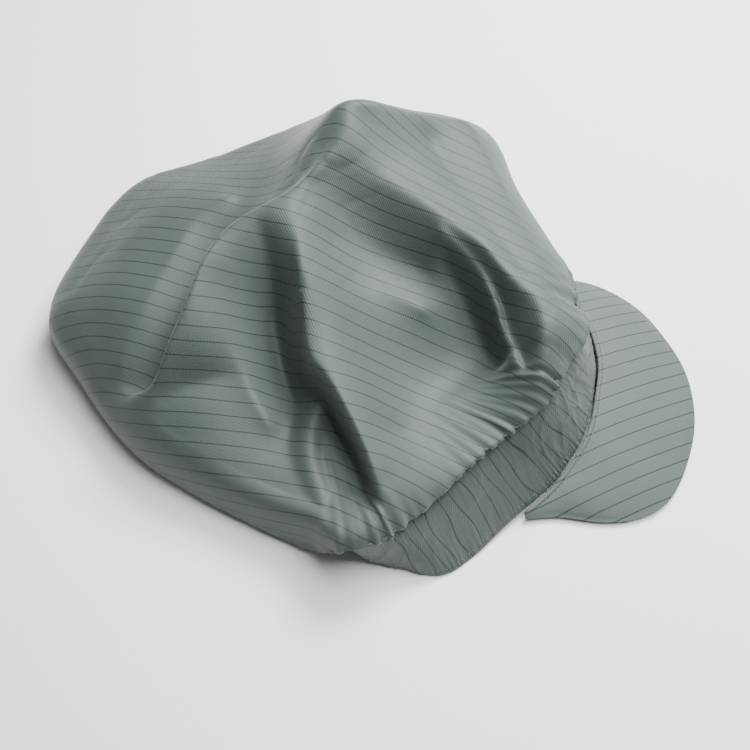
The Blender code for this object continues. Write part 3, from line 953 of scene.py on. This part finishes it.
peak = {
    "centerX": -0.057,
    "rootY": -0.058,
    "halfWidth": 0.097,
    "reach": 0.1535,
    "wall": 0.0026,
    "standOff": 0.0008,
    "nearRow": 4.7,
    "farRow": -3.6,
    "stations": 190,
    "rings": 46,
    "weltWidth": 0.0034,       # rolled seam beside the band
    "weltRise": 0.0008,
    "groove": 0.00035,         # where its stitches pull it in
    "puckers": 70,
    "puckerRise": 0.00012,
    "dome": 0.0020,
    "unevenRise": 0.00035,
    "unevenSize": 0.06,
    "stripeTurn": 9.0,         # degrees between the peak's stripes and fore and aft
    "columns": ("x", "y", "z"),
    "rows": (
        (-0.80, 0.06, 0.08),
        (-0.84, 0.20, 0.07),
        (-0.95, 0.37, 0.07),
        (-0.99, 0.52, 0.07),
        (-0.94, 0.67, 0.08),
        (-0.75, 0.81, 0.10),
        (-0.44, 0.94, 0.15),
        (-0.08, 1.00, 0.20),
        (0.26, 0.98, 0.23),
        (0.58, 0.91, 0.25),
        (0.84, 0.77, 0.26),
        (0.97, 0.60, 0.27),
        (0.98, 0.45, 0.28),
        (0.88, 0.32, 0.30),
    ),
}


def peakGrid():
    way = np.linspace(0.0, 1.0, peak["stations"])
    x = peak["centerX"] - rest[0] + peak["halfWidth"] * readColumn(peak, "x")
    y = peak["rootY"] - rest[1] - peak["reach"] * readColumn(peak, "y")
    z = np.maximum(ring["bandHeight"] * readColumn(peak, "z"), peak["wall"])
    outer = openCurve(np.column_stack([x, y, z]), way)
    at = (peak["nearRow"] + (peak["farRow"] - peak["nearRow"]) * way) / len(ring["rows"])
    line = ringPoints("rim", at)
    line[:, 2] = np.maximum(line[:, 2] + 0.5 * peak["wall"], peak["wall"])
    along = ringPoints("rim", at + 0.002) - ringPoints("rim", at - 0.002)
    outward = unit(np.stack([-along[:, 1], along[:, 0]], axis=1))
    upward = unit(np.cross(outer - line, along))
    upward *= np.sign(upward[:, 2:])
    lean = np.maximum((upward[:, :2] * outward).sum(axis=1, keepdims=True), 0.0)
    line[:, :2] += (peak["standOff"] + lean * peak["wall"]) * outward
    share = np.linspace(0.0, 1.0, peak["rings"])[:, None, None] ** 1.25
    grid = line + share * (outer - line)
    normals = gridNormals(grid, False)
    normals *= np.sign(normals[..., 2:])
    away = lengthFromSeam(grid)
    depth = away[-1:]
    rise = peak["dome"] * np.sin(math.pi * np.clip(away / depth, 0, 1)) * smoothStep(0.0, 0.05, depth)
    welt = peak["weltRise"] * np.sin(math.pi * np.clip(away / peak["weltWidth"], 0, 1))
    groove = -peak["groove"] * np.exp(-((away - peak["weltWidth"]) / (0.7 * mm)) ** 2)
    pucker = peak["puckerRise"] * np.sin(2 * math.pi * way * peak["puckers"]) * np.exp(-away / (6 * mm))
    soft = peak["unevenRise"] * softNoise(grid, peak["unevenSize"], 41)
    edge = smoothStep(0.0, 6 * mm, depth - away)
    grid = grid + normals * ((rise + welt + groove + pucker + soft) * edge)[..., None]
    grid[..., 2] = np.maximum(grid[..., 2], peak["wall"] + 0.1 * mm)
    return grid, normals, away


def makePeak():
    grid = peakGrid()[0]
    rings, stations = grid.shape[:2]
    faces = gridFaces(rings, stations, False)
    corners = np.fromiter((corner for face in faces for corner in face), int)
    points = grid.reshape(-1, 3)
    turn = math.radians(peak["stripeTurn"])
    across = points[:, 0] * math.cos(turn) + points[:, 1] * math.sin(turn)
    along = -points[:, 0] * math.sin(turn) + points[:, 1] * math.cos(turn)
    values = np.column_stack([across, along]) / mm
    thing = newObject("peak_cloth", points, faces, values[corners])
    bm = bmesh.new()
    bm.from_mesh(thing.data)
    bmesh.ops.recalc_face_normals(bm, faces=bm.faces)
    if sum(face.normal.z for face in bm.faces) < 0:
        bmesh.ops.reverse_faces(bm, faces=bm.faces)
    bm.to_mesh(thing.data)
    bm.free()
    addModifier(thing, "wall", "SOLIDIFY", thickness=peak["wall"], offset=-1.0)
    addModifier(thing, "rolled edge", "BEVEL", width=0.9 * mm, segments=3, limit_method="ANGLE",
                angle_limit=math.radians(50))
    print("peak: %d faces" % len(faces))
    return thing


# stitches

stitches = {
    "length": 0.0026,
    "gap": 0.0007,
    "thread": 0.00026,      # radius of the thread
    "sides": 6,
    "sections": 5,
    "sink": 0.00008,
    "least": 0.012,
    "crownOffset": 0.0050,
    "peakOffset": 0.0036,
}


def stitchRow(name, path, outward, closed):
    # path and outward are close points on the cloth; each stitch is a short bent thread
    if closed:
        path, outward = (np.concatenate([line, line[:1]]) for line in (path, outward))
    step = np.linalg.norm(np.diff(path, axis=0), axis=1)
    run = np.concatenate([[0.0], np.cumsum(step)])
    pitch = stitches["length"] + stitches["gap"]
    count = int(run[-1] / pitch)
    pitch = run[-1] / count
    points, faces = [], []
    sides, sections = stitches["sides"], stitches["sections"]
    for n in range(count):
        spots = n * pitch + np.linspace(0, stitches["length"], sections)
        centre = np.stack([np.interp(spots, run, path[:, k]) for k in range(3)], axis=1)
        up = unit(np.stack([np.interp(spots, run, outward[:, k]) for k in range(3)], axis=1))
        ahead = unit(np.gradient(centre, axis=0))
        beside = unit(np.cross(ahead, up))
        share = np.linspace(-1, 1, sections)
        radius = stitches["thread"] * np.sqrt(np.maximum(1 - share ** 4, 0.06))
        centre = centre + up * (stitches["thread"] * (0.9 - 1.3 * share ** 4) - stitches["sink"])[:, None]
        base = len(points)
        for s in range(sections):
            for k in range(sides):
                angle = 2 * math.pi * k / sides
                spoke = math.cos(angle) * beside[s] + math.sin(angle) * up[s]
                points.append(centre[s] + radius[s] * spoke)
        for s in range(sections - 1):
            for k in range(sides):
                m = (k + 1) % sides
                faces.append([base + a * sides + b for a, b in ((s, k), (s, m), (s + 1, m), (s + 1, k))])
        faces.append(tuple(base + k for k in range(sides))[::-1])
        faces.append(tuple(base + (sections - 1) * sides + k for k in range(sides)))
    return newObject(name, points, faces)


def bandStitches(name, height):
    at, rim, top, outward, run = bandFrame()
    out = bandBulge(at, np.full(len(at), height), run)
    return stitchRow(name, rim + height * (top - rim) + outward * out[:, None], outward, True)


def seamStitches(name, grid, normals, fromSeam, offset, closed):
    # a row beside a seam, where the cloth reaches far enough past it
    path, outward = [], []
    for i in range(grid.shape[1]):
        if fromSeam[-1, i] > stitches["least"]:
            for found, source in ((path, grid), (outward, normals)):
                found.append([np.interp(offset, fromSeam[:, i], source[:, i, k]) for k in range(3)])
    return stitchRow(name, np.array(path), np.array(outward), closed)


# materials

stripes = {
    "pitch": 9.4,        # mm between the conductive threads
    "width": 0.85,       # mm
    "dot": 1.5,          # mm between the floats of the dark thread
    "twill": 1.9,        # mm between the ribs; the real 0.3 mm is too fine to show
}


def hexColor(text):
    parts = [int(text[k:k + 2], 16) / 255 for k in (1, 3, 5)]
    return tuple(c / 12.92 if c <= 0.04045 else ((c + 0.055) / 1.055) ** 2.4 for c in parts) + (1.0,)


def addNode(tree, kind, inputs=None, **settings):
    # inputs are constants or the outputs of other nodes
    node = tree.nodes.new("ShaderNode" + kind)
    for key, value in settings.items():
        setattr(node, key, value)
    for socket, value in (inputs or {}).items():
        if isinstance(value, bpy.types.NodeSocket):
            tree.links.new(value, node.inputs[socket])
        else:
            node.inputs[socket].default_value = value
    return node.outputs


def startMaterial(name):
    material = bpy.data.materials.new(name)
    material.use_nodes = True
    material.node_tree.nodes.clear()
    return material, material.node_tree


def twillMaterial(name, look):
    # polyester twill with a dark conductive thread woven in every 9.4 mm: satin, a little
    # uneven in tone, with ribs that the light catches
    material, tree = startMaterial(name)
    threads = addNode(tree, "UVMap", uv_map="threads")["UV"]
    parts = addNode(tree, "SeparateXYZ", {0: threads})
    place = addNode(tree, "TexCoord")["Object"]
    noise = {
        "grain": {"Vector": threads, "Scale": 1.1, "Detail": 3.0},
        "cloud": {"Vector": place, "Scale": 14.0, "Detail": 3.0, "Roughness": 0.55},
        "crumple": {"Vector": place, "Scale": 60.0, "Detail": 4.0, "Roughness": 0.6},
    }
    values = {"across": parts[0], "along": parts[1]}
    for given, inputs in noise.items():
        flat = "2D" if inputs["Vector"] == threads else "3D"
        values[given] = addNode(tree, "TexNoise", inputs, noise_dimensions=flat)["Fac"]
    # each step gives a value its name: what is done, and to which values or numbers
    for given, operation, *used in (
        # the dark stripe, by the distance from the nearest stripe line in mm
        ("stripe", "DIVIDE", "across", stripes["pitch"]),
        ("stripe", "FRACT", "stripe"),
        ("stripe", "SUBTRACT", "stripe", 0.5),
        ("stripe", "ABSOLUTE", "stripe"),
        ("stripe", "MULTIPLY", "stripe", stripes["pitch"]),
        ("stripe", "SMOOTHSTEP", "stripe", 0.225 * stripes["width"], 0.675 * stripes["width"], 1.0, 0.0),
        # it floats over and dips under the cloth
        ("dots", "DIVIDE", "along", stripes["dot"]),
        ("dots", "FRACT", "dots"),
        ("dots", "SUBTRACT", "dots", 0.5),
        ("dots", "ABSOLUTE", "dots"),
        ("dots", "SMOOTHSTEP", "dots", 0.16, 0.34, 1.0, look["dotGap"]),
        ("dark", "MULTIPLY", "stripe", "dots"),
        ("dark", "MULTIPLY", "dark", look["stripeStrength"]),
        # twill ribs
        ("twill", "MULTIPLY", "along", 0.9),
        ("twill", "ADD", "across", "twill"),
        ("twill", "MULTIPLY", "twill", 2 * math.pi / stripes["twill"]),
        ("twill", "SINE", "twill"),
        # tone between the shade and the light colour
        ("tone", "MULTIPLY", "twill", look["twillTone"]),
        ("grainTone", "SUBTRACT", "grain", 0.5),
        ("grainTone", "MULTIPLY", "grainTone", look["grainTone"]),
        ("tone", "ADD", "tone", "grainTone"),
        ("cloudTone", "SUBTRACT", "cloud", 0.5),
        ("cloudTone", "MULTIPLY", "cloudTone", look["cloudTone"]),
        ("tone", "ADD", "tone", "cloudTone"),
        ("tone", "ADD", "tone", 0.5),
        # height of the weave
        ("ribs", "MULTIPLY", "twill", 0.5),
        ("fuzz", "MULTIPLY", "grain", 0.8),
        ("weave", "ADD", "ribs", "fuzz"),
        ("dip", "MULTIPLY", "dark", 0.8),
        ("weave", "SUBTRACT", "weave", "dip"),
    ):
        inputs = {k: values.get(value, value) for k, value in enumerate(used)}
        if operation == "SMOOTHSTEP":
            values[given] = addNode(tree, "MapRange", inputs, interpolation_type=operation)[0]
        else:
            values[given] = addNode(tree, "Math", inputs, operation=operation)[0]
    light, shade, dark = (hexColor(look[key]) for key in ("light", "shade", "stripe"))
    base = addNode(tree, "Mix", {0: values["tone"], 6: shade, 7: light}, data_type="RGBA")[2]
    color = addNode(tree, "Mix", {0: values["dark"], 6: base, 7: dark}, data_type="RGBA")[2]
    rough = {0: values["grain"], 3: look["rough"] - 0.06, 4: look["rough"] + 0.06}
    fine = {"Height": values["weave"], "Strength": look["weaveBump"], "Distance": 0.3 * mm}
    soft = {"Height": values["crumple"], "Strength": look["crumpleBump"], "Distance": 1.5 * mm,
            "Normal": addNode(tree, "Bump", fine)[0]}
    shader = addNode(tree, "BsdfPrincipled", {
        "Base Color": color, "Roughness": addNode(tree, "MapRange", rough)[0],
        "Normal": addNode(tree, "Bump", soft)[0], "IOR": 1.5, "Specular IOR Level": look["gloss"],
        "Sheen Weight": look["sheen"], "Sheen Roughness": 0.45,
    })[0]
    addNode(tree, "OutputMaterial", {"Surface": shader})
    return material


def threadMaterial(name, colorText):
    # spun polyester sewing thread, two plies twisted, slightly darker than the cloth
    material, tree = startMaterial(name)
    place = addNode(tree, "TexCoord")["Object"]
    ply = addNode(tree, "TexWave", {"Vector": place, "Scale": 900.0, "Distortion": 2.0})["Fac"]
    colors = {0: ply, 6: hexColor(colorText), 7: hexColor("#6d7a77")}
    color = addNode(tree, "Mix", colors, data_type="RGBA")[2]
    bump = addNode(tree, "Bump", {"Height": ply, "Strength": 0.5, "Distance": 0.1 * mm})[0]
    shader = addNode(tree, "BsdfPrincipled", {"Base Color": color, "Normal": bump, "Roughness": 0.55})[0]
    addNode(tree, "OutputMaterial", {"Surface": shader})
    return material


clothLooks = {
    "crown": {
        "shade": "#3b4543", "light": "#515c59", "stripe": "#0d1212", "stripeStrength": 0.95,
        "dotGap": 0.4, "twillTone": 0.08, "grainTone": 0.35, "cloudTone": 0.25, "rough": 0.55,
        "weaveBump": 0.25, "crumpleBump": 0.18, "gloss": 0.3, "sheen": 0.15,
    },
    "band": {
        "shade": "#394341", "light": "#4f5956", "stripe": "#0d1212", "stripeStrength": 0.9,
        "dotGap": 0.5, "twillTone": 0.06, "grainTone": 0.35, "cloudTone": 0.25, "rough": 0.55,
        "weaveBump": 0.25, "crumpleBump": 0.25, "gloss": 0.3, "sheen": 0.15,
    },
    # the peak's colours are painted lighter than the crown's: painted light, standing in for the stronger
    # light on the peak's flat top
    "peak": {
        "shade": "#454f4c", "light": "#5c6663", "stripe": "#141919", "stripeStrength": 0.85,
        "dotGap": 0.75, "twillTone": 0.05, "grainTone": 0.4, "cloudTone": 0.15, "rough": 0.58,
        "weaveBump": 0.25, "crumpleBump": 0.1, "gloss": 0.3, "sheen": 0.2,
    },
}


# build

crownCloth, crownGrid, crownFromSeam = makeCrown()
bandCloth = makeBand()
peakCloth = makePeak()
for cloth, name in ((crownCloth, "crown"), (bandCloth, "band"), (peakCloth, "peak")):
    cloth.data.materials.append(twillMaterial("striped_polyester_twill_" + name, clothLooks[name]))
sewingThread = threadMaterial("spun_polyester_sewing_thread", "#4a5553")

rows = {
    "crown_seam_stitches": (
        seamStitches("crown_seam_stitches", crownGrid, -gridNormals(crownGrid, True), crownFromSeam,
                     stitches["crownOffset"], True), "crown_cloth"),
    "band_top_stitches": (bandStitches("band_top_stitches", band["stitchHeights"][0]), "band_cloth"),
    "band_rim_stitches": (bandStitches("band_rim_stitches", band["stitchHeights"][1]), "band_cloth"),
    "peak_seam_stitches": (
        seamStitches("peak_seam_stitches", *peakGrid(), stitches["peakOffset"], False), "peak_cloth"),
}
for thing, slot in rows.values():
    thing.data.materials.append(sewingThread)
    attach(thing, "root")
print("stitches:", sum(len(thing.data.polygons) for thing, slot in rows.values()), "faces")

for thing, node, slot in (
    (crownCloth, "crown", "crown_cloth"),
    (bandCloth, "headband", "band_cloth"),
    (peakCloth, "peak", "peak_cloth"),
):
    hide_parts(node)
    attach(thing, "root")


# table, light and camera

floorMesh = bpy.data.meshes.new("pale_table")
floorMesh.from_pydata([(-4, -4, 0), (4, -4, 0), (4, 4, 0), (-4, 4, 0)], [], [(0, 1, 2, 3)])
floor = bpy.data.objects.new("pale_table", floorMesh)
bpy.context.scene.collection.objects.link(floor)
floor.location.z = -0.1 * mm
floor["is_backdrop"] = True
paper = bpy.data.materials.new("matt_white_paper")
paper.use_nodes = True
paper.node_tree.nodes["Principled BSDF"].inputs["Base Color"].default_value = hexColor("#fbfbfa")
paper.node_tree.nodes["Principled BSDF"].inputs["Roughness"].default_value = 0.9
floorMesh.materials.append(paper)

lights = {
    "key": {"place": (0.56, -0.62, 1.00), "size": 0.5, "power": 38.0},
    "fill": {"place": (-0.10, -0.38, 1.22), "size": 0.8, "power": 23.0},
}
for name, look in lights.items():
    light = bpy.data.lights.new(name, "AREA")
    light.size = look["size"]
    light.energy = look["power"]
    lamp = bpy.data.objects.new(name, light)
    lamp.location = look["place"]
    aim = Vector((0, 0, 0.05)) - Vector(look["place"])
    lamp.rotation_euler = aim.to_track_quat("-Z", "Y").to_euler()
    bpy.context.scene.collection.objects.link(lamp)
worldStrength = 0.13
world = bpy.data.worlds.new("studio")
world.use_nodes = True
world.node_tree.nodes["Background"].inputs[0].default_value = (1.0, 1.0, 1.0, 1.0)
world.node_tree.nodes["Background"].inputs[1].default_value = worldStrength
bpy.context.scene.world = world

view = {"azimuth": -105.0, "elevation": 60.0, "distance": 0.72, "lens": 48.0}
camera = bpy.data.objects.new("camera", bpy.data.cameras.new("camera"))
camera.data.lens = view["lens"]
camera.data.sensor_width = 36.0
azimuth, elevation = math.radians(view["azimuth"]), math.radians(view["elevation"])
back = Vector((math.sin(azimuth) * math.cos(elevation), -math.cos(azimuth) * math.cos(elevation),
               math.sin(elevation)))
camera.location = Vector((-rest[0], -rest[1], 0.0)) + back * view["distance"]
camera.rotation_euler = (math.radians(90) - elevation, 0.0, azimuth)
bpy.context.scene.collection.objects.link(camera)
bpy.context.scene.camera = camera

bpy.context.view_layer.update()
for name, box in (("cad box", cadBox), ("visual box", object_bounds())):
    print(name, [[round(v / mm, 1) for v in c] for c in box])
